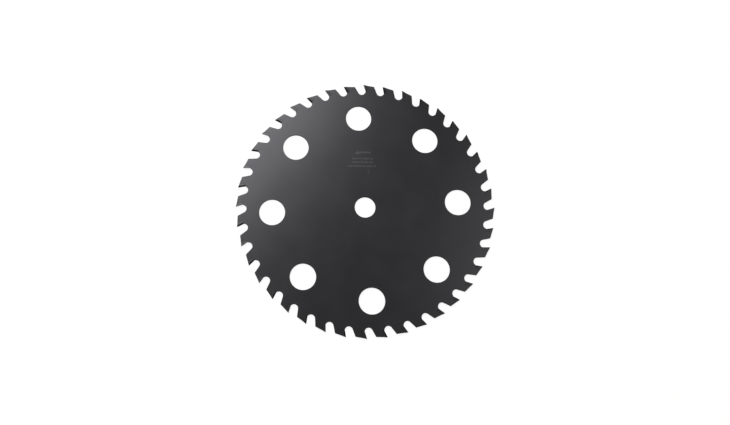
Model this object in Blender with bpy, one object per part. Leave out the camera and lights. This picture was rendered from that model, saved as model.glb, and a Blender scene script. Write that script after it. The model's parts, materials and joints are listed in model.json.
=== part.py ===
# Toothed cutting disc: a thin steel core with a hard cutting tip in a seat on each tooth.
# Metres, +Z up. The disc lies flat: its axis is Z, its middle plane is Z = 0 and the origin is
# the centre of the bore. The first round hole is on +X. Seen from +Z the teeth point
# anticlockwise.
import math

import bmesh
import bpy
import numpy as np

# Disc
OUTER_DIAMETER = 0.250          # circle through the sharp corners of the tips
BORE_DIAMETER = 0.020           # fits the saw's arbor
PLATE_THICKNESS = 0.0016
HOLE_COUNT = 8                  # round holes that lighten and cool the plate
HOLE_DIAMETER = 0.025
HOLE_CIRCLE_DIAMETER = 0.180
HOLE_SIDES = 48
BORE_SIDES = 48

# Teeth
TOOTH_COUNT = 40
TOOTH_PITCH = 2 * math.pi / TOOTH_COUNT
FIRST_TOOTH_ANGLE = math.radians(5.75)   # sharp corner of tip 1, from the first hole
RAKE_ANGLE = math.radians(17)            # the cutting face is undercut from the radius
CLEARANCE_ANGLE = math.radians(10)       # the land falls away behind the tip
BACK_ANGLE = math.radians(20)            # the tooth's back leans from the radius
LAND_LENGTH = 0.0109                     # sharp corner to heel
LAND_DROP = 0.0001                       # steel land stands this far below the tip's top
GULLET_RADIUS = 0.0038
GULLET_CENTRE_DEPTH = 0.0066             # centre of the gullet's arc, below the sharp corner
GULLET_STEPS = 12
SHARP_ANGLE = math.radians(30)           # edges turning more than this are shaded sharp

# Cutting tips
TIP_WIDTH = 0.0022                       # width of the cut; the tips overhang the plate
TIP_LENGTH = 0.0073                      # along the cutting face
TIP_THICKNESS = 0.0028                   # from the cutting face back to the seat
FACE_BEVEL = math.radians(30)            # cutting faces turn to alternate sides
TOP_BEVEL = math.radians(15)             # tops and lands slope to the same side as the face
RADIAL_RELIEF = math.radians(1)          # sides narrow towards the disc's centre
TANGENTIAL_RELIEF = math.radians(1.5)    # sides narrow behind the cutting face
BRAZE_GAP = 0.0003                       # between a tip and its seat

OUTER_RADIUS = OUTER_DIAMETER / 2
TIP_CORNER = np.array([OUTER_RADIUS, 0.0])
HEEL_DIRECTION = np.array([-math.sin(CLEARANCE_ANGLE), -math.cos(CLEARANCE_ANGLE)])
HEEL_CORNER = TIP_CORNER + LAND_LENGTH * HEEL_DIRECTION

# Directions in a tooth's own frame: X radial and outward, Y along the rotation, Z the axis.
UP_FACE = np.array([math.cos(RAKE_ANGLE), math.sin(RAKE_ANGLE), 0.0])
FACE_OUT = np.array([-math.sin(RAKE_ANGLE), math.cos(RAKE_ANGLE), 0.0])
LAND_OUT = np.array([math.cos(CLEARANCE_ANGLE), -math.sin(CLEARANCE_ANGLE), 0.0])
BACK_OUT = np.array([math.sin(BACK_ANGLE), -math.cos(BACK_ANGLE), 0.0])
AXIS = np.array([0.0, 0.0, 1.0])


def meeting_point(normals, offsets):
    """The point whose distance along each normal is the matching offset."""
    return np.linalg.solve(np.array(normals), np.array(offsets))


def turned(point, angle):
    """A flat point, or a direction, turned about the disc's axis."""
    cosine = math.cos(angle)
    sine = math.sin(angle)
    return np.array([cosine * point[0] - sine * point[1], sine * point[0] + cosine * point[1]])


def circle(radius, sides, centre=(0.0, 0.0)):
    """Points round a circle, starting on +X of its centre."""
    steps = [2 * math.pi * step / sides for step in range(sides)]
    return [(centre[0] + radius * math.cos(a), centre[1] + radius * math.sin(a)) for a in steps]


def gullet_arc(corner):
    """Points from the seat's front corner round the gullet to the next tooth's back."""
    next_heel = turned(HEEL_CORNER, TOOTH_PITCH)
    back_out = turned(BACK_OUT, TOOTH_PITCH)
    # The arc touches the next tooth's back, so its centre is one radius away from that line.
    radial = np.array([1.0, 0.0])
    centre_line = float(back_out @ next_heel) + GULLET_RADIUS
    centre = meeting_point([radial, back_out], [OUTER_RADIUS - GULLET_CENTRE_DEPTH, centre_line])
    # A straight run from the corner meets the arc where it is tangent to it.
    to_centre = centre - corner
    distance = float(np.linalg.norm(to_centre))
    centre_direction = math.atan2(to_centre[1], to_centre[0])
    start = centre_direction + math.pi - math.acos(GULLET_RADIUS / distance)
    touch = -back_out
    end = math.atan2(touch[1], touch[0])
    sweep = (start - end) % (2 * math.pi)
    angles = [start - sweep * step / GULLET_STEPS for step in range(GULLET_STEPS + 1)]
    return [centre + GULLET_RADIUS * np.array([math.cos(a), math.sin(a)]) for a in angles]


def tooth_outline(from_sharp_side):
    """The core's edge over one pitch: heel, land, seat for the tip, then the gullet.

    The land slopes across the plate, so it is lower the further it is from its sharp side.
    """
    face_out = FACE_OUT[:2]
    up_face = UP_FACE[:2]
    land_out = LAND_OUT[:2]
    back_out = BACK_OUT[:2]
    back = float(back_out @ HEEL_CORNER)
    land = float(land_out @ TIP_CORNER) - LAND_DROP - from_sharp_side * math.tan(TOP_BEVEL)
    face = float(face_out @ TIP_CORNER)
    seat_wall = face - TIP_THICKNESS - BRAZE_GAP
    seat_floor = float(up_face @ TIP_CORNER) - TIP_LENGTH - BRAZE_GAP
    heel = meeting_point([land_out, back_out], [land, back])
    land_end = meeting_point([land_out, face_out], [land, seat_wall])
    seat_corner = meeting_point([up_face, face_out], [seat_floor, seat_wall])
    seat_front = meeting_point([up_face, face_out], [seat_floor, face])
    return [heel, land_end, seat_corner, seat_front] + gullet_arc(seat_front)


def core_loops(level):
    """The edge of the toothed plate, its bore and its round holes at one height, as loops."""
    edge = []
    for tooth in range(TOOTH_COUNT):
        angle = FIRST_TOOTH_ANGLE + tooth * TOOTH_PITCH
        from_sharp_side = PLATE_THICKNESS / 2 + side_of(tooth) * level
        edge += [turned(point, angle) for point in tooth_outline(from_sharp_side)]
    loops = [edge, circle(BORE_DIAMETER / 2, BORE_SIDES)]
    for hole in range(HOLE_COUNT):
        centre = turned((HOLE_CIRCLE_DIAMETER / 2, 0.0), hole * 2 * math.pi / HOLE_COUNT)
        loops.append(circle(HOLE_DIAMETER / 2, HOLE_SIDES, centre))
    return loops


def side_of(tooth):
    """+1 where a tooth's face and land are ground to face +Z, -1 where they face -Z."""
    return 1 if tooth % 2 == 0 else -1


def plate_mesh(name, levels):
    """A flat plate between two heights, each with its own loops; the first loop is the edge."""
    shape = bmesh.new()
    rings = []
    for height, loops in levels:
        level_rings = []
        edges = []
        for loop in loops:
            ring = [shape.verts.new((point[0], point[1], height)) for point in loop]
            edges += [shape.edges.new(pair) for pair in zip(ring, ring[1:] + ring[:1])]
            level_rings.append(ring)
        bmesh.ops.triangle_fill(shape, use_beauty=True, edges=edges, normal=(0, 0, 1))
        rings.append(level_rings)
    for below, above in zip(*rings):
        for corner in range(len(below)):
            after = (corner + 1) % len(below)
            shape.faces.new((below[corner], below[after], above[after], above[corner]))
    bmesh.ops.recalc_face_normals(shape, faces=shape.faces[:])
    mesh = bpy.data.meshes.new(name)
    shape.to_mesh(mesh)
    shape.free()
    return mesh


def tip_mesh(name, side):
    """A cutting tip in its tooth's frame, the sharp corner at X = Y = 0.

    side is +1 where the cutting face turns towards +Z, and -1 where it turns towards -Z.
    """
    face_normal = math.cos(FACE_BEVEL) * FACE_OUT + side * math.sin(FACE_BEVEL) * AXIS
    top_normal = math.cos(TOP_BEVEL) * LAND_OUT + side * math.sin(TOP_BEVEL) * AXIS
    sharp_corner = -side * TIP_WIDTH / 2 * AXIS
    relief = -math.tan(RADIAL_RELIEF) * UP_FACE - math.tan(TANGENTIAL_RELIEF) * FACE_OUT
    face = (face_normal, float(face_normal @ sharp_corner))
    top = (top_normal, float(top_normal @ sharp_corner))
    rear = (FACE_OUT, -TIP_THICKNESS)
    foot = (UP_FACE, -TIP_LENGTH)
    lower_side = (relief - AXIS, TIP_WIDTH / 2)
    upper_side = (relief + AXIS, TIP_WIDTH / 2)
    shape = bmesh.new()
    rings = []
    for flank in (lower_side, upper_side):
        ring = []
        for ends in ((face, top), (top, rear), (rear, foot), (foot, face)):
            planes = [flank, ends[0], ends[1]]
            corner = meeting_point([plane[0] for plane in planes], [plane[1] for plane in planes])
            ring.append(shape.verts.new(corner))
        rings.append(ring)
    for ring in rings:
        shape.faces.new(ring)
    for corner in range(4):
        after = (corner + 1) % 4
        shape.faces.new((rings[0][corner], rings[0][after], rings[1][after], rings[1][corner]))
    bmesh.ops.recalc_face_normals(shape, faces=shape.faces[:])
    mesh = bpy.data.meshes.new(name)
    shape.to_mesh(mesh)
    shape.free()
    return mesh


def metal(name, colour, roughness):
    """A plain metal finish."""
    material = bpy.data.materials.new(name)
    material.use_nodes = True
    shader = material.node_tree.nodes["Principled BSDF"]
    shader.inputs["Base Color"].default_value = (*colour, 1.0)
    shader.inputs["Metallic"].default_value = 1.0
    shader.inputs["Roughness"].default_value = roughness
    material.diffuse_color = (*colour, 1.0)
    return material


def place(name, mesh, material, parent):
    """Puts a mesh in the scene under its own name."""
    piece = bpy.data.objects.new(name, mesh)
    if material.name not in mesh.materials:
        mesh.materials.append(material)
    bpy.context.scene.collection.objects.link(piece)
    piece.parent = parent
    return piece


def build_core(disc):
    """The steel plate, with its flats crisp and its round walls smooth."""
    heights = (-PLATE_THICKNESS / 2, PLATE_THICKNESS / 2)
    mesh = plate_mesh("steel_core", [(height, core_loops(height)) for height in heights])
    mesh.shade_smooth()
    mesh.set_sharp_from_angle(angle=SHARP_ANGLE)
    black_steel = metal("black_steel", (0.045, 0.045, 0.049), 0.42)
    place("steel_core", mesh, black_steel, disc)


def build_tips(disc):
    """Forty tips, two shapes in turn, each one standing at its tooth's sharp corner."""
    tip_material = metal("tip_dark_grey", (0.055, 0.055, 0.06), 0.35)
    shapes = {1: tip_mesh("tip_facing_up", 1), -1: tip_mesh("tip_facing_down", -1)}
    for tooth in range(TOOTH_COUNT):
        angle = FIRST_TOOTH_ANGLE + tooth * TOOTH_PITCH
        tip = place(f"tip_{tooth + 1:02d}", shapes[side_of(tooth)], tip_material, disc)
        tip.location = (OUTER_RADIUS * math.cos(angle), OUTER_RADIUS * math.sin(angle), 0.0)
        tip.rotation_euler = (0.0, 0.0, angle)


def main():
    for old in list(bpy.data.objects):
        bpy.data.objects.remove(old)
    disc = bpy.data.objects.new("disc", None)
    bpy.context.scene.collection.objects.link(disc)
    build_core(disc)
    build_tips(disc)


main()
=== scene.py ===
import json
import math
from functools import partial

import bmesh
import bpy
from mathutils import Matrix, Vector


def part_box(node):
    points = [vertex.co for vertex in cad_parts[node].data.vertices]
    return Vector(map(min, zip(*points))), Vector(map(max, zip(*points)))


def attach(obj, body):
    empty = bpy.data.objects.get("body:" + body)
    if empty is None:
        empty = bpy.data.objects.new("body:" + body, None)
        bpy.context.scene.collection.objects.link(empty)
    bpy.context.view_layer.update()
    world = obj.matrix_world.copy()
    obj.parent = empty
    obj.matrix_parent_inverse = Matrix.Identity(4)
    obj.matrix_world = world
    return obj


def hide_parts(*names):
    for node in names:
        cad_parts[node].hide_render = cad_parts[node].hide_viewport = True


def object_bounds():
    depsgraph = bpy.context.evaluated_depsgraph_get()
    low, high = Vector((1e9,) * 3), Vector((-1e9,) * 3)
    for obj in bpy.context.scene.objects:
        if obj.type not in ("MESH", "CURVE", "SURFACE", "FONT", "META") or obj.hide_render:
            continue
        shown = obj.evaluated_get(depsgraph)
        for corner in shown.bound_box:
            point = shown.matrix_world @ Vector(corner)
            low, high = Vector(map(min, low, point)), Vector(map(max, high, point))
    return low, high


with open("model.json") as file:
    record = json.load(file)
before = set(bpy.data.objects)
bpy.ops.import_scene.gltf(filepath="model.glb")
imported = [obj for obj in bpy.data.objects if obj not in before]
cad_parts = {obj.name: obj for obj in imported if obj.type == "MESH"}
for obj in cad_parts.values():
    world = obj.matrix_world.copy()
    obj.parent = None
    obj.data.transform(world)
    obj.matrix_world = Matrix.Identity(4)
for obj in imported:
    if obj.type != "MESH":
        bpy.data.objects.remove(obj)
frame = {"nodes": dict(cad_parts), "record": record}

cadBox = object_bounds()
mm = 0.001
print("frame loaded:", len(frame["nodes"]), "nodes")


def linearColour(hexText):
    # sRGB hex to linear, with an alpha of 1
    channels = [int(hexText[start:start + 2], 16) / 255 for start in (1, 3, 5)]
    return [c / 12.92 if c <= 0.04045 else ((c + 0.055) / 1.055) ** 2.4 for c in channels] + [1.0]


def addNode(tree, kind, settings, links=None):
    # settings are sockets by name or number, or the node's own properties
    node = tree.nodes.new(kind)
    for name, value in settings.items():
        if isinstance(name, int) or name in node.inputs:
            node.inputs[name].default_value = value
        else:
            setattr(node, name, value)
    for name, source in (links or {}).items():
        tree.links.new(source, node.inputs[name])
    return node


def newMaterial(name):
    material = bpy.data.materials.new(name)
    material.use_nodes = True
    material.node_tree.nodes.clear()
    return material, material.node_tree


def closeMaterial(tree, shader):
    addNode(tree, "ShaderNodeOutputMaterial", {}, {"Surface": shader.outputs["BSDF"]})


# Blackened steel sheet: ground flat, then oxidised black. Even, near-black, with a soft satin
# sheen, faint rings from the grinding and slow clouds where the oxide took differently.
blackSheet = {
    "oxide": "#424244",
    "oxideLight": "#48484a",
    "cloudSize": 30 * mm,
    "ringSpacing": 0.7 * mm,    # real rings are near 0.1 mm, too fine to show, so drawn coarser
    "ringLength": 0.35,         # radians that a ring line runs before it fades
    "ringShare": 0.5,           # how much of the roughness the rings make, the clouds the rest
    "grainSize": 0.35 * mm,
    "grainHeight": 0.4,         # against rings of 1
    "noiseRange": (0.3, 0.7),   # where nearly all of the noise lies
    "roughness": (0.28, 0.335),
    "bump": 0.002 * mm,         # height of the relief
}


def makeBlackSheet():
    look = blackSheet
    material, tree = newMaterial("blackOxideGroundSteel")
    place = addNode(tree, "ShaderNodeTexCoord", {}).outputs["Object"]
    flat = addNode(tree, "ShaderNodeVectorMath", {"operation": "MULTIPLY", 1: (1, 1, 0)}, {0: place})
    radius = addNode(tree, "ShaderNodeVectorMath", {"operation": "LENGTH"}, {0: flat.outputs[0]})
    around = addNode(tree, "ShaderNodeVectorMath", {"operation": "NORMALIZE"}, {0: flat.outputs[0]})
    steps = addNode(
        tree, "ShaderNodeMath", {"operation": "DIVIDE", 1: look["ringSpacing"]},
        {0: radius.outputs["Value"]},
    )
    stretch = addNode(
        tree, "ShaderNodeVectorMath", {"operation": "SCALE", "Scale": 1 / look["ringLength"]},
        {0: around.outputs[0]},
    )
    ringPlace = addNode(tree, "ShaderNodeCombineXYZ", {}, {"Z": steps.outputs[0]})
    ringVector = addNode(
        tree, "ShaderNodeVectorMath", {"operation": "ADD"},
        {0: stretch.outputs[0], 1: ringPlace.outputs[0]},
    )
    rings = addNode(
        tree, "ShaderNodeTexNoise", {"Scale": 1.0, "Detail": 2.0, "Roughness": 0.6},
        {"Vector": ringVector.outputs[0]},
    )
    clouds = addNode(
        tree, "ShaderNodeTexNoise", {"Scale": 1 / look["cloudSize"], "Detail": 3.0, "Roughness": 0.5},
        {"Vector": place},
    )
    grain = addNode(
        tree, "ShaderNodeTexNoise", {"Scale": 1 / look["grainSize"], "Detail": 2.0, "Roughness": 0.6},
        {"Vector": place},
    )
    colour = addNode(
        tree, "ShaderNodeMix",
        {"data_type": "RGBA", 6: linearColour(look["oxide"]), 7: linearColour(look["oxideLight"])},
        {0: clouds.outputs["Fac"]},
    )
    ringPart = addNode(
        tree, "ShaderNodeMath", {"operation": "MULTIPLY", 1: look["ringShare"]},
        {0: rings.outputs["Fac"]},
    )
    mixed = addNode(
        tree, "ShaderNodeMath", {"operation": "MULTIPLY_ADD", 1: 1 - look["ringShare"]},
        {0: clouds.outputs["Fac"], 2: ringPart.outputs[0]},
    )
    least, most = look["noiseRange"]
    low, high = look["roughness"]
    rough = addNode(
        tree, "ShaderNodeMapRange",
        {"From Min": least, "From Max": most, "To Min": low, "To Max": high},
        {"Value": mixed.outputs[0]},
    )
    height = addNode(
        tree, "ShaderNodeMath", {"operation": "MULTIPLY_ADD", 1: look["grainHeight"]},
        {0: grain.outputs["Fac"], 2: rings.outputs["Fac"]},
    )
    bump = addNode(
        tree, "ShaderNodeBump", {"Strength": 1.0, "Distance": look["bump"]},
        {"Height": height.outputs[0]},
    )
    shader = addNode(
        tree, "ShaderNodeBsdfPrincipled", {"Metallic": 1.0},
        {
            "Base Color": colour.outputs[2],
            "Roughness": rough.outputs[0],
            "Normal": bump.outputs[0],
        },
    )
    closeMaterial(tree, shader)
    return material


# Laser-cut edge under the same black: duller than the sheet, with fine upright lines.
cutEdge = {
    "oxide": "#2e2f31",
    "line": 0.3 * mm,           # spacing of the cut lines along the edge
    "lineStretch": 0.08,        # how little they change with height
    "roughness": (0.45, 0.6),
    "bump": 0.01 * mm,
}


def makeCutEdge():
    look = cutEdge
    material, tree = newMaterial("blackLaserCutEdge")
    place = addNode(tree, "ShaderNodeTexCoord", {}).outputs["Object"]
    upright = addNode(
        tree, "ShaderNodeVectorMath", {"operation": "MULTIPLY", 1: (1, 1, look["lineStretch"])},
        {0: place},
    )
    lines = addNode(
        tree, "ShaderNodeTexNoise", {"Scale": 1 / look["line"], "Detail": 2.0, "Roughness": 0.55},
        {"Vector": upright.outputs[0]},
    )
    low, high = look["roughness"]
    rough = addNode(
        tree, "ShaderNodeMapRange", {"To Min": low, "To Max": high}, {"Value": lines.outputs["Fac"]}
    )
    bump = addNode(
        tree, "ShaderNodeBump", {"Strength": 1.0, "Distance": look["bump"]},
        {"Height": lines.outputs["Fac"]},
    )
    shader = addNode(
        tree, "ShaderNodeBsdfPrincipled",
        {"Base Color": linearColour(look["oxide"]), "Metallic": 1.0},
        {"Roughness": rough.outputs[0], "Normal": bump.outputs[0]},
    )
    closeMaterial(tree, shader)
    return material


# Sintered cutting tip: a very hard, near-black metal. Ground faces are smoother than the blackened
# flanks, with fine straight lines left by the wheel. Their colour is set darker than the flanks' as a
# painted dark reflection of the surroundings.
sinteredTip = {
    # the two ground colours are painted dark: they stand in for the dark surroundings that the ground
    # faces mirror
    "ground": "#27282a",
    "groundLight": "#303133",
    "flank": "#434345",
    "flankLight": "#4b4b4d",
    "wheelLine": 0.12 * mm,     # real wheel marks are near 0.02 mm, so drawn coarser
    "lineStretch": 0.05,        # how little the lines change along the tip
    "spread": 20.0,             # keeps one tip's pattern away from another's
    "groundRoughness": (0.24, 0.34),
    "flankRoughness": (0.26, 0.32),
    "bump": 0.001 * mm,
}


def makeTipFinish(name, dark, light, roughness):
    look = sinteredTip
    material, tree = newMaterial(name)
    place = addNode(tree, "ShaderNodeAttribute", {"attribute_name": "toothPlace"}).outputs["Vector"]
    chance = addNode(tree, "ShaderNodeObjectInfo", {}).outputs["Random"]
    shift = addNode(tree, "ShaderNodeMath", {"operation": "MULTIPLY", 1: look["spread"]}, {0: chance})
    alongTip = addNode(
        tree, "ShaderNodeVectorMath", {"operation": "MULTIPLY", 1: (look["lineStretch"], 1, 1)},
        {0: place},
    )
    lines = addNode(
        tree, "ShaderNodeTexNoise",
        {"noise_dimensions": "4D", "Scale": 1 / look["wheelLine"], "Detail": 2.0, "Roughness": 0.6},
        {"Vector": alongTip.outputs[0], "W": shift.outputs[0]},
    )
    colour = addNode(
        tree, "ShaderNodeMix", {"data_type": "RGBA", 6: linearColour(dark), 7: linearColour(light)},
        {0: lines.outputs["Fac"]},
    )
    low, high = roughness
    rough = addNode(
        tree, "ShaderNodeMapRange", {"To Min": low, "To Max": high}, {"Value": lines.outputs["Fac"]}
    )
    bump = addNode(
        tree, "ShaderNodeBump", {"Strength": 1.0, "Distance": look["bump"]},
        {"Height": lines.outputs["Fac"]},
    )
    shader = addNode(
        tree, "ShaderNodeBsdfPrincipled", {"Metallic": 1.0},
        {"Base Color": colour.outputs[2], "Roughness": rough.outputs[0], "Normal": bump.outputs[0]},
    )
    closeMaterial(tree, shader)
    return material


# Silver solder, melted into the seat and blackened with the rest: a thin, slightly warm line.
solder = {
    "dark": "#403e3b",
    "light": "#4b4945",
    "pool": 0.8 * mm,
    "roughness": 0.33,
    "bump": 0.01 * mm,
}


def makeSolder():
    look = solder
    material, tree = newMaterial("blackenedSilverSolder")
    place = addNode(tree, "ShaderNodeTexCoord", {}).outputs["Object"]
    pools = addNode(
        tree, "ShaderNodeTexNoise", {"Scale": 1 / look["pool"], "Detail": 2.0}, {"Vector": place}
    )
    colour = addNode(
        tree, "ShaderNodeMix",
        {"data_type": "RGBA", 6: linearColour(look["dark"]), 7: linearColour(look["light"])},
        {0: pools.outputs["Fac"]},
    )
    bump = addNode(
        tree, "ShaderNodeBump", {"Strength": 1.0, "Distance": look["bump"]},
        {"Height": pools.outputs["Fac"]},
    )
    shader = addNode(
        tree, "ShaderNodeBsdfPrincipled", {"Metallic": 1.0, "Roughness": look["roughness"]},
        {"Base Color": colour.outputs[2], "Normal": bump.outputs[0]},
    )
    closeMaterial(tree, shader)
    return material


# Laser etching: the beam frosts the black, which leaves a slightly paler, finely specked patch.
etching = {"pale": "#5b5b5d", "dull": "#515153", "speck": 0.5 * mm, "roughness": 0.33}


def makeEtching():
    look = etching
    material, tree = newMaterial("laserFrostedOxide")
    place = addNode(tree, "ShaderNodeTexCoord", {}).outputs["Object"]
    specks = addNode(
        tree, "ShaderNodeTexNoise", {"Scale": 1 / look["speck"], "Detail": 2.0}, {"Vector": place}
    )
    colour = addNode(
        tree, "ShaderNodeMix",
        {"data_type": "RGBA", 6: linearColour(look["dull"]), 7: linearColour(look["pale"])},
        {0: specks.outputs["Fac"]},
    )
    shader = addNode(
        tree, "ShaderNodeBsdfPrincipled", {"Metallic": 1.0, "Roughness": look["roughness"]},
        {"Base Color": colour.outputs[2]},
    )
    closeMaterial(tree, shader)
    return material


# The tooth, in its own frame: X points out along the radius, Y along the rotation, Z up,
# with the tip's sharp corner at X = Y = 0.
tooth = {
    "rake": math.radians(17),
    "clearance": math.radians(10),
    "back": math.radians(20),
    "landLength": 10.9 * mm,
    "landDrop": 0.1 * mm,
    "tipLength": 7.3 * mm,
    "tipThickness": 2.8 * mm,
    "seatGap": 0.3 * mm,        # between tip and seat on the CAD solids
    "solderGap": 0.12 * mm,     # the same joint as it is really made
    "faceBevel": math.radians(30),
    "topBevel": math.radians(15),
    "radialRelief": math.radians(1),
    "tangentialRelief": math.radians(1.5),
    "gulletRadius": 3.8 * mm,
    "gulletDepth": 6.6 * mm,    # sharp corner to the centre of the gullet's arc
}
faceUp = Vector((math.cos(tooth["rake"]), math.sin(tooth["rake"]), 0))
faceOut = Vector((-math.sin(tooth["rake"]), math.cos(tooth["rake"]), 0))
landOut = Vector((math.cos(tooth["clearance"]), -math.sin(tooth["clearance"]), 0))
backOut = Vector((math.sin(tooth["back"]), -math.cos(tooth["back"]), 0))
heelWay = Vector((-math.sin(tooth["clearance"]), -math.cos(tooth["clearance"]), 0))
axis = Vector((0, 0, 1))
grow = (tooth["seatGap"] - tooth["solderGap"]) / 2      # tip and seat each take half of the gap


def meetingPoint(planes):
    # the corner where three planes meet, each a normal and a distance along it
    return Matrix([plane[0] for plane in planes]).inverted() @ Vector([plane[1] for plane in planes])


def topPlane(side, drop, halfWidth):
    # the slope of the tooth's top, which starts on its sharp side and falls to the other
    normal = math.cos(tooth["topBevel"]) * landOut + side * math.sin(tooth["topBevel"]) * axis
    return normal, normal.dot(-drop * landOut - side * halfWidth * axis)


def turned(point, angle):
    return Matrix.Rotation(angle, 3, "Z") @ point


def polar(radius, angle):
    return radius * Vector((math.cos(angle), math.sin(angle), 0))


def arc(centre, radius, start, end, steps):
    # points from start to end, both angles included
    return [centre + polar(radius, start + (end - start) * step / steps) for step in range(steps + 1)]


def roundedCorner(before, corner, after, radius, steps):
    # the corner replaced by an arc that both its edges touch
    toBefore = (before - corner).normalized()
    toAfter = (after - corner).normalized()
    half = toBefore.angle(toAfter) / 2
    centre = corner + (toBefore + toAfter).normalized() * (radius / math.sin(half))
    reach = radius / math.tan(half)
    first = corner + toBefore * reach - centre
    last = corner + toAfter * reach - centre
    start = math.atan2(first.y, first.x)
    sweep = (math.atan2(last.y, last.x) - start + math.pi) % (2 * math.pi) - math.pi
    return arc(centre, radius, start, start + sweep, steps)


def closePrism(shape, lowPoints, highPoints):
    # two matching rings of points, closed at both ends and all round
    rings = [[shape.verts.new(point) for point in points] for points in (lowPoints, highPoints)]
    for ring in rings:
        shape.faces.new(ring)
    for index in range(len(lowPoints)):
        after = (index + 1) % len(lowPoints)
        shape.faces.new((rings[0][index], rings[0][after], rings[1][after], rings[1][index]))
    bmesh.ops.recalc_face_normals(shape, faces=shape.faces[:])


def meshFrom(shape, name):
    mesh = bpy.data.meshes.new(name)
    shape.to_mesh(mesh)
    shape.free()
    return mesh


# what the CAD solids say
coreNode = frame["nodes"]["steel_core"]
coreLow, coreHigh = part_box("steel_core")
tipNames = sorted(name for name in frame["nodes"] if name.startswith("tip_"))


def sharpCorner(name):
    corners = [vertex.co for vertex in frame["nodes"][name].data.vertices]
    return max(corners, key=lambda corner: corner.xy.length)


tipCorners = {name: sharpCorner(name).copy() for name in tipNames}


def toothAngle(name):
    return math.atan2(tipCorners[name].y, tipCorners[name].x)


def toothSide(name):
    # +1 where face and top are ground to face up, -1 where they face down
    return -1 if tipCorners[name].z > 0 else 1


outerRadius = max(corner.xy.length for corner in tipCorners.values())
tipWidth = cadBox[1].z - cadBox[0].z
pitch = 2 * math.pi / len(tipNames)
holeCentres = []
for opening in frame["record"]["physics"]["openings"]:
    lowCorner, highCorner = (Vector(corner) for corner in opening["box_m"])
    holeCentres.append((lowCorner + highCorner) / 2)


def holeRadius(centre):
    return min((vertex.co.xy - centre.xy).length for vertex in coreNode.data.vertices)


core = {
    "gulletSteps": 26,
    "cornerSteps": 5,
    "holeSides": 160,
    "sharpAngle": math.radians(28),     # edges that turn more than this stay crisp
    "heelRadius": 0.25 * mm,
    "seatRadius": 0.4 * mm,
    "edgeChamfer": 0.15 * mm,
    "boreChamfer": 0.35 * mm,
    "holeChamfer": 0.25 * mm,
}


def toothEdge(side, level):
    # one pitch of the core's edge at one height: heel, land, seat, straight run and gullet
    corner = Vector((outerRadius, 0, 0))
    heelCorner = corner + heelWay * tooth["landLength"]
    flat = (axis, level)
    slope, drop = topPlane(side, tooth["landDrop"], coreHigh.z)
    land = (slope, slope.dot(corner) + drop)
    back = (backOut, backOut.dot(heelCorner))
    face = (faceOut, faceOut.dot(corner))
    wall = (faceOut, face[1] - tooth["tipThickness"] - tooth["seatGap"] + grow)
    floor = (faceUp, faceUp.dot(corner) - tooth["tipLength"] - tooth["seatGap"] + grow)
    heel = meetingPoint([land, back, flat])
    landEnd = meetingPoint([land, wall, flat])
    seatCorner = meetingPoint([wall, floor, flat])
    seatFront = meetingPoint([floor, face, flat])
    nextBackOut = turned(backOut, pitch)
    nextBack = (nextBackOut, nextBackOut.dot(turned(heelCorner, pitch)) + tooth["gulletRadius"])
    depth = (Vector((1, 0, 0)), outerRadius - tooth["gulletDepth"])
    centre = meetingPoint([nextBack, depth, flat])
    toCentre = centre - seatFront
    start = math.atan2(toCentre.y, toCentre.x) + math.pi
    start -= math.acos(tooth["gulletRadius"] / toCentre.length)
    end = math.atan2(-nextBackOut.y, -nextBackOut.x)
    sweep = (start - end) % (2 * math.pi)
    gullet = arc(centre, tooth["gulletRadius"], start, start - sweep, core["gulletSteps"])
    belowHeel = turned(gullet[-1], -pitch)
    points = roundedCorner(belowHeel, heel, landEnd, core["heelRadius"], core["cornerSteps"])
    points.append(landEnd)
    points += roundedCorner(landEnd, seatCorner, seatFront, core["seatRadius"], core["cornerSteps"])
    points.append(seatFront)
    return points + gullet


def rimAt(level):
    # the whole toothed edge at one height, anticlockwise
    points = []
    for name in sorted(tipNames, key=toothAngle):
        points += [turned(point, toothAngle(name)) for point in toothEdge(toothSide(name), level)]
    return points


def holeAt(centre, radius, level):
    # clockwise, so that the steel is on its left too
    middle = Vector((centre.x, centre.y, level))
    return arc(middle, radius, 2 * math.pi, 0, core["holeSides"])[:-1]


def inset(loop, distance):
    # every point moves into the steel, along the mitre of its two edges
    moved = []
    for before, here, after in zip(loop[-1:] + loop[:-1], loop, loop[1:] + loop[:1]):
        first = (here - before).normalized()
        second = (after - here).normalized()
        inward = axis.cross(first + second) / (1 + first.dot(second))
        moved.append(here + inward * distance)
    return moved


def chamferedPlate(name, outlines, low, high):
    # outlines are (function of height, chamfer) pairs
    shape = bmesh.new()
    caps = [[], []]
    for outlineAt, chamfer in outlines:
        levels = [(low, chamfer), (low + chamfer, 0), (high - chamfer, 0), (high, chamfer)]
        rings = [[shape.verts.new(p) for p in inset(outlineAt(z), cut)] for z, cut in levels]
        for below, above in zip(rings, rings[1:]):
            for index in range(len(below)):
                after = (index + 1) % len(below)
                side = shape.faces.new((below[index], below[after], above[after], above[index]))
                side.material_index = 1
                side.smooth = True
        for cap, ring in zip(caps, (rings[0], rings[-1])):
            cap += [shape.edges.get(pair) for pair in zip(ring, ring[1:] + ring[:1])]
    for cap in caps:
        bmesh.ops.triangle_fill(shape, use_beauty=True, edges=cap)
    bmesh.ops.recalc_face_normals(shape, faces=shape.faces[:])
    return meshFrom(shape, name)


def showPiece(name, mesh, finishes):
    piece = bpy.data.objects.new(name, mesh)
    bpy.context.scene.collection.objects.link(piece)
    for finish in finishes:
        mesh.materials.append(finish)
    return piece


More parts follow.
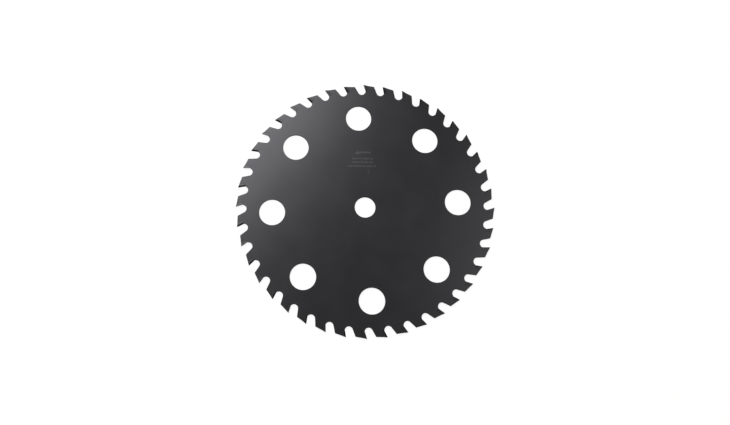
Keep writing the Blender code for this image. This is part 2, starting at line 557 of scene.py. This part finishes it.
def buildCore(sheet, edge):
    outlines = [(rimAt, core["edgeChamfer"])]
    for centre in holeCentres:
        radius = holeRadius(centre)
        chamfer = core["boreChamfer"] if centre.length < radius else core["holeChamfer"]
        outlines.append((partial(holeAt, centre, radius), chamfer))
    mesh = chamferedPlate("steelCore", outlines, coreLow.z, coreHigh.z)
    mesh.set_sharp_from_angle(angle=core["sharpAngle"])
    piece = showPiece("steelCore", mesh, [sheet, edge])
    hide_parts("steel_core")
    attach(piece, "root")
    print("core:", len(mesh.polygons), "faces")


tip = {
    "edge": 0.05 * mm,
    "edgeSteps": 2,
    "groundCosine": 0.9,        # a face this close to the ground planes is ground too
}


def tipMesh(name, side):
    face = math.cos(tooth["faceBevel"]) * faceOut + side * math.sin(tooth["faceBevel"]) * axis
    top, topOffset = topPlane(side, 0, tipWidth / 2)
    relief = -math.tan(tooth["radialRelief"]) * faceUp - math.tan(tooth["tangentialRelief"]) * faceOut
    corner = -side * tipWidth / 2 * axis
    facePlane = (face, face.dot(corner))
    ground = (top, topOffset)
    rear = (faceOut, -tooth["tipThickness"] - grow)
    foot = (faceUp, -tooth["tipLength"] - grow)
    pairs = ((facePlane, ground), (ground, rear), (rear, foot), (foot, facePlane))
    flanks = [(relief + way * axis, tipWidth / 2) for way in (-1, 1)]
    rings = [[meetingPoint([flank, *pair]) for pair in pairs] for flank in flanks]
    shape = bmesh.new()
    closePrism(shape, *rings)
    bmesh.ops.bevel(
        shape, geom=shape.edges[:], offset=tip["edge"], segments=tip["edgeSteps"], profile=0.5,
        affect="EDGES", clamp_overlap=True,
    )
    for polygon in shape.faces:
        closest = max(polygon.normal.dot(face), polygon.normal.dot(top))
        polygon.material_index = 0 if closest > tip["groundCosine"] else 1
        polygon.smooth = True
    mesh = meshFrom(shape, name)
    toothPlace = mesh.attributes.new("toothPlace", "FLOAT_VECTOR", "POINT")
    for vertex, place in zip(mesh.vertices, toothPlace.data):
        place.vector = vertex.co
    return mesh


def atTooth(mesh, name):
    # a copy of the mesh, carried from the tooth's own frame to that tooth
    moved = mesh.copy()
    place = Matrix.Translation((*tipCorners[name].xy, 0))
    moved.transform(place @ Matrix.Rotation(toothAngle(name), 4, "Z"))
    return moved


def buildTips(ground, flank):
    meshes = {1: tipMesh("tipFacingUp", 1), -1: tipMesh("tipFacingDown", -1)}
    for name in tipNames:
        mesh = atTooth(meshes[toothSide(name)], name)
        piece = showPiece("cuttingTip" + name[-2:], mesh, [ground, flank])
        # full weight keeps the large faces flat and leaves the rounding to the edges
        piece.modifiers.new("flatFacesSoftEdges", "WEIGHTED_NORMAL").weight = 100
        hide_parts(name)
        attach(piece, "root")
    print("tips:", len(tipNames))


joint = {
    "overlap": 0.01 * mm,       # into the tip and into the seat, so that no light comes through
    "proud": 0.04 * mm,         # above and below the plate
    "setBack": 0.2 * mm,        # from the land and from the cutting face
    "edge": 0.03 * mm,
}


def solderMesh(side):
    # an L that fills the joint behind and under the tip
    rearFace = -tooth["tipThickness"] - grow + joint["overlap"]
    seatWall = rearFace - tooth["solderGap"] - 2 * joint["overlap"]
    tipFoot = -tooth["tipLength"] - grow + joint["overlap"]
    seatFloor = tipFoot - tooth["solderGap"] - 2 * joint["overlap"]
    top = topPlane(side, tooth["landDrop"] + joint["setBack"], coreHigh.z)
    front = (faceOut, -joint["setBack"])
    pairs = [
        (top, (faceOut, seatWall)),
        ((faceOut, seatWall), (faceUp, seatFloor)),
        ((faceUp, seatFloor), front),
        (front, (faceUp, tipFoot)),
        ((faceUp, tipFoot), (faceOut, rearFace)),
        ((faceOut, rearFace), top),
    ]
    half = coreHigh.z + joint["proud"]
    levels = (-half, half)
    rings = [[meetingPoint([*pair, (axis, level)]) for pair in pairs] for level in levels]
    shape = bmesh.new()
    closePrism(shape, *rings)
    bmesh.ops.bevel(
        shape, geom=shape.edges[:], offset=joint["edge"], segments=1, affect="EDGES", clamp_overlap=True
    )
    return meshFrom(shape, "solderSeam")


def buildSolder(finish):
    meshes = {side: solderMesh(side) for side in (1, -1)}
    for name in tipNames:
        mesh = atTooth(meshes[toothSide(name)], name)
        piece = showPiece("solderSeam" + name[-2:], mesh, [finish])
        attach(piece, "root")
    print("solder seams:", len(tipNames))


# Etched mark on the front: an arrow for the direction of rotation over rows of plain bars.
mark = {
    "turn": math.radians(-3.5),
    "middle": (-0.5 * mm, 46.5 * mm),
    "depth": 0.01 * mm,         # stands this far out of the sheet, and as far into it
    "rows": [                   # height on the disc, start, then bar lengths, in mm
        (48.8, -9.6, (5.6, 3.1, 6.4, 2.6)),
        (45.2, -9.6, (7.4, 2.4, 4.1, 3.9)),
        (41.2, -13.6, (4.4, 8.2, 3.0, 5.2, 2.9)),
    ],
    "barHeight": 1.3,           # mm
    "barGap": 0.9,              # mm
    "tick": (6.2, 36.0, 0.8, 3.6),          # across, up, width and height, in mm
    "arrowRadius": 55.0 * mm,
    "arrowWidth": 1.5 * mm,
    "arrowStart": math.radians(80.6),
    "arrowEnd": math.radians(92.6),         # where the head begins
    "arrowHead": (4.2 * mm, 4.4 * mm),      # width, length
    "arrowSteps": 12,
}
squareCorners = ((-1, -1), (1, -1), (1, 1), (-1, 1))


def rectangle(across, up, width, height):
    return [Vector((across + x * width / 2, up + y * height / 2, 0)) * mm for x, y in squareCorners]


def markBars():
    bars = []
    for height, start, lengths in mark["rows"]:
        for length in lengths:
            bars.append(rectangle(start + length / 2, height, length, mark["barHeight"]))
            start += length + mark["barGap"]
    bars.append(rectangle(*mark["tick"]))
    pivot = Vector((*mark["middle"], 0))
    return [[pivot + turned(point - pivot, mark["turn"]) for point in bar] for bar in bars]


def markArrow():
    # out along the outer side, round the head and back along the inner side
    centre = Vector((0, 0, 0))
    radius = mark["arrowRadius"]
    half = mark["arrowWidth"] / 2
    start = mark["arrowStart"]
    end = mark["arrowEnd"]
    headWidth, headLength = mark["arrowHead"]
    outer = arc(centre, radius + half, start, end, mark["arrowSteps"])
    inner = arc(centre, radius - half, end, start, mark["arrowSteps"])
    head = [
        polar(radius + headWidth / 2, end),
        polar(radius, end + headLength / radius),
        polar(radius - headWidth / 2, end),
    ]
    return outer + head + inner


def buildMark(finish):
    outlines = markBars() + [markArrow()]
    levels = [axis * (coreHigh.z + depth) for depth in (-mark["depth"], mark["depth"])]
    shape = bmesh.new()
    for outline in outlines:
        closePrism(shape, *[[point + level for point in outline] for level in levels])
    piece = showPiece("etchedMark", meshFrom(shape, "etchedMark"), [finish])
    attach(piece, "root")
    print("mark:", len(outlines), "shapes")


# A lit table: the floor glows, so that it stays even and pale right up to the disc's edge.
studio = {
    "floorColour": "#6c6c6b",
    "floorGlow": 0.87,
    "floorRoughness": 0.8,
    "floorShine": 0.1,
    "floorSize": 60.0,              # metres, far enough to reach the horizon
    "floorGap": 0.05 * mm,          # under the tips
    "horizon": "#dadadb",
    "ceiling": "#929293",
    "ceilingStart": 0.45,           # sine of the height above which all is ceiling
    "below": "#2a2a2b",
    "belowStart": -0.02,            # and below which all is dark
}


def buildFloor():
    look = studio
    half = look["floorSize"] / 2
    level = cadBox[0].z - look["floorGap"]
    shape = bmesh.new()
    shape.faces.new([shape.verts.new((x * half, y * half, level)) for x, y in squareCorners])
    material, tree = newMaterial("litOpalAcrylic")
    shader = addNode(
        tree, "ShaderNodeBsdfPrincipled",
        {
            "Base Color": linearColour(look["floorColour"]),
            "Roughness": look["floorRoughness"],
            "Specular IOR Level": look["floorShine"],
            "Emission Color": (1, 1, 1, 1),
            "Emission Strength": look["floorGlow"],
        },
    )
    closeMaterial(tree, shader)
    floor = showPiece("paleFloor", meshFrom(shape, "paleFloor"), [material])
    floor.visible_glossy = False        # keeps the pale table out of the dark metal's reflections


def buildWorld():
    # pale at the horizon, mid grey overhead and dark below, which is what the black metal mirrors
    look = studio
    world = bpy.data.worlds.new("studioWorld")
    world.use_nodes = True
    tree = world.node_tree
    tree.nodes.clear()
    way = addNode(tree, "ShaderNodeTexCoord", {}).outputs["Generated"]
    height = addNode(tree, "ShaderNodeSeparateXYZ", {}, {0: way})
    colour = addNode(tree, "ShaderNodeValToRGB", {}, {"Fac": height.outputs["Z"]})
    ramp = colour.color_ramp
    ramp.elements[0].position = 0.0
    ramp.elements[0].color = linearColour(look["horizon"])
    ramp.elements[1].position = look["ceilingStart"]
    ramp.elements[1].color = linearColour(look["ceiling"])
    above = addNode(
        tree, "ShaderNodeMath", {"operation": "GREATER_THAN", 1: look["belowStart"]},
        {0: height.outputs["Z"]},
    )
    whole = addNode(
        tree, "ShaderNodeMix", {"data_type": "RGBA", 6: linearColour(look["below"])},
        {0: above.outputs[0], 7: colour.outputs["Color"]},
    )
    background = addNode(tree, "ShaderNodeBackground", {}, {"Color": whole.outputs[2]})
    addNode(tree, "ShaderNodeOutputWorld", {}, {"Surface": background.outputs[0]})
    bpy.context.scene.world = world


# soft boxes: place and aim in metres, side of the square panel, power in watts
lamps = {
    "keySoftbox": {"at": (-0.365, 0.401, 0.580), "aim": (0, 0, 0), "size": 0.7, "power": 6.6},
    "sideSoftbox": {"at": (0.427, -0.075, 0.441), "aim": (0, 0, 0), "size": 0.5, "power": 0.8},
}


def buildLamps():
    for name, setting in lamps.items():
        light = bpy.data.lights.new(name, "AREA")
        light.shape = "SQUARE"
        light.size = setting["size"]
        light.energy = setting["power"]
        lamp = bpy.data.objects.new(name, light)
        bpy.context.scene.collection.objects.link(lamp)
        lamp.location = setting["at"]
        beam = Vector(setting["aim"]) - Vector(setting["at"])
        lamp.rotation_euler = beam.to_track_quat("-Z", "Y").to_euler()


shot = {
    "at": (-0.06655, -0.12167, 0.62565),
    "tilt": (10.872, -0.183, -3.147),       # degrees about X, Y and Z from straight down
    "lens": 32.546,
    "shift": 0.0817,                        # share of the frame's width
}


def buildCamera():
    data = bpy.data.cameras.new("camera")
    data.lens = shot["lens"]
    data.shift_x = shot["shift"]
    camera = bpy.data.objects.new("camera", data)
    bpy.context.scene.collection.objects.link(camera)
    camera.location = shot["at"]
    camera.rotation_euler = [math.radians(angle) for angle in shot["tilt"]]
    bpy.context.scene.camera = camera


buildCamera()
buildCore(makeBlackSheet(), makeCutEdge())
# the ground faces take the darker colours, a painted dark reflection
groundFacePaintedDark = makeTipFinish(
    "groundTipPaintedDarkReflection", sinteredTip["ground"], sinteredTip["groundLight"],
    sinteredTip["groundRoughness"],
)
blackFlank = makeTipFinish(
    "blackenedTipFlank", sinteredTip["flank"], sinteredTip["flankLight"],
    sinteredTip["flankRoughness"],
)
buildTips(groundFacePaintedDark, blackFlank)
buildSolder(makeSolder())
buildMark(makeEtching())
buildFloor()
buildWorld()
buildLamps()
bpy.context.scene.view_settings.view_transform = "Standard"
print("studio ready")
